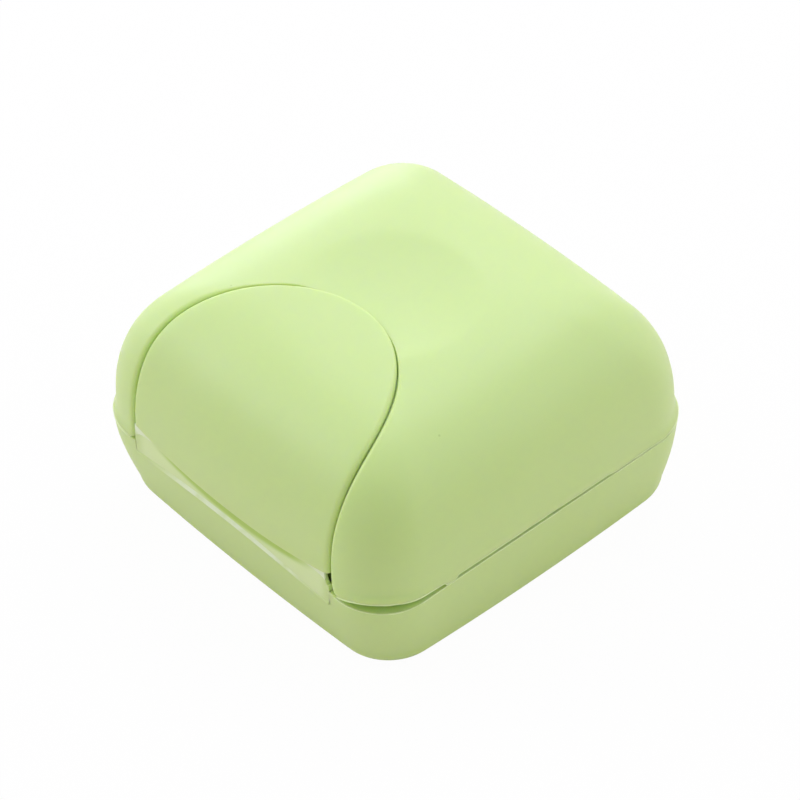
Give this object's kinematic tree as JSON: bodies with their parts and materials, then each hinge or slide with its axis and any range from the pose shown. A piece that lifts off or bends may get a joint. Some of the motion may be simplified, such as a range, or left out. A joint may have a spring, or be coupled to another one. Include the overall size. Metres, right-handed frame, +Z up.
{
  "type": "travel soap box",
  "caption": "Small square soap box with a domed lid, a shallow base, a fold-over tongue latch on film hinges and a drain tray.",
  "frame": {"origin": "middle of the underside, on the surface that the box stands on", "axes": "+Z up, -Y towards the latch at the front, +Y towards the rear hinge, +X to the right"},
  "size_m": [0.07, 0.07, 0.0399],
  "materials": {
    "pastel_plastic": "satin moulded polypropylene",
    "film_plastic": "flexed polypropylene film, whitened",
    "tray_plastic": "satin moulded polypropylene",
    "seal_rubber": "soft silicone"
  },
  "bodies": {
    "base": {"base_shell": "pastel_plastic", "drain_tray": "tray_plastic", "low_crease": "film_plastic", "rear_crease": "film_plastic"},
    "lid": {"lid_shell": "pastel_plastic", "seal_ring": "seal_rubber"},
    "band": {"hinge_band": "pastel_plastic", "high_crease": "film_plastic"},
    "tongue": {"latch_flap": "pastel_plastic"}
  },
  "joints": [
    {"name": "lid_hinge", "type": "hinge", "parent": "base", "child": "lid", "pos_m": [0, 0.03445, 0.01535], "axis": [-1, 0, 0], "range_deg": [0, 66]},
    {"name": "band_hinge", "type": "hinge", "parent": "base", "child": "band", "pos_m": [0, -0.0341, 0.0128], "axis": [1, 0, 0], "range_deg": [0, 60.72]},
    {"name": "tongue_hinge", "type": "hinge", "parent": "band", "child": "tongue", "pos_m": [0, -0.0341, 0.0176], "axis": [1, 0, 0], "range_deg": [0, 91.08]}
  ],
  "couplings": [
    {"joint": "band_hinge", "follows": "lid_hinge", "ratio": 0.92},
    {"joint": "tongue_hinge", "follows": "lid_hinge", "ratio": 1.38}
  ]
}
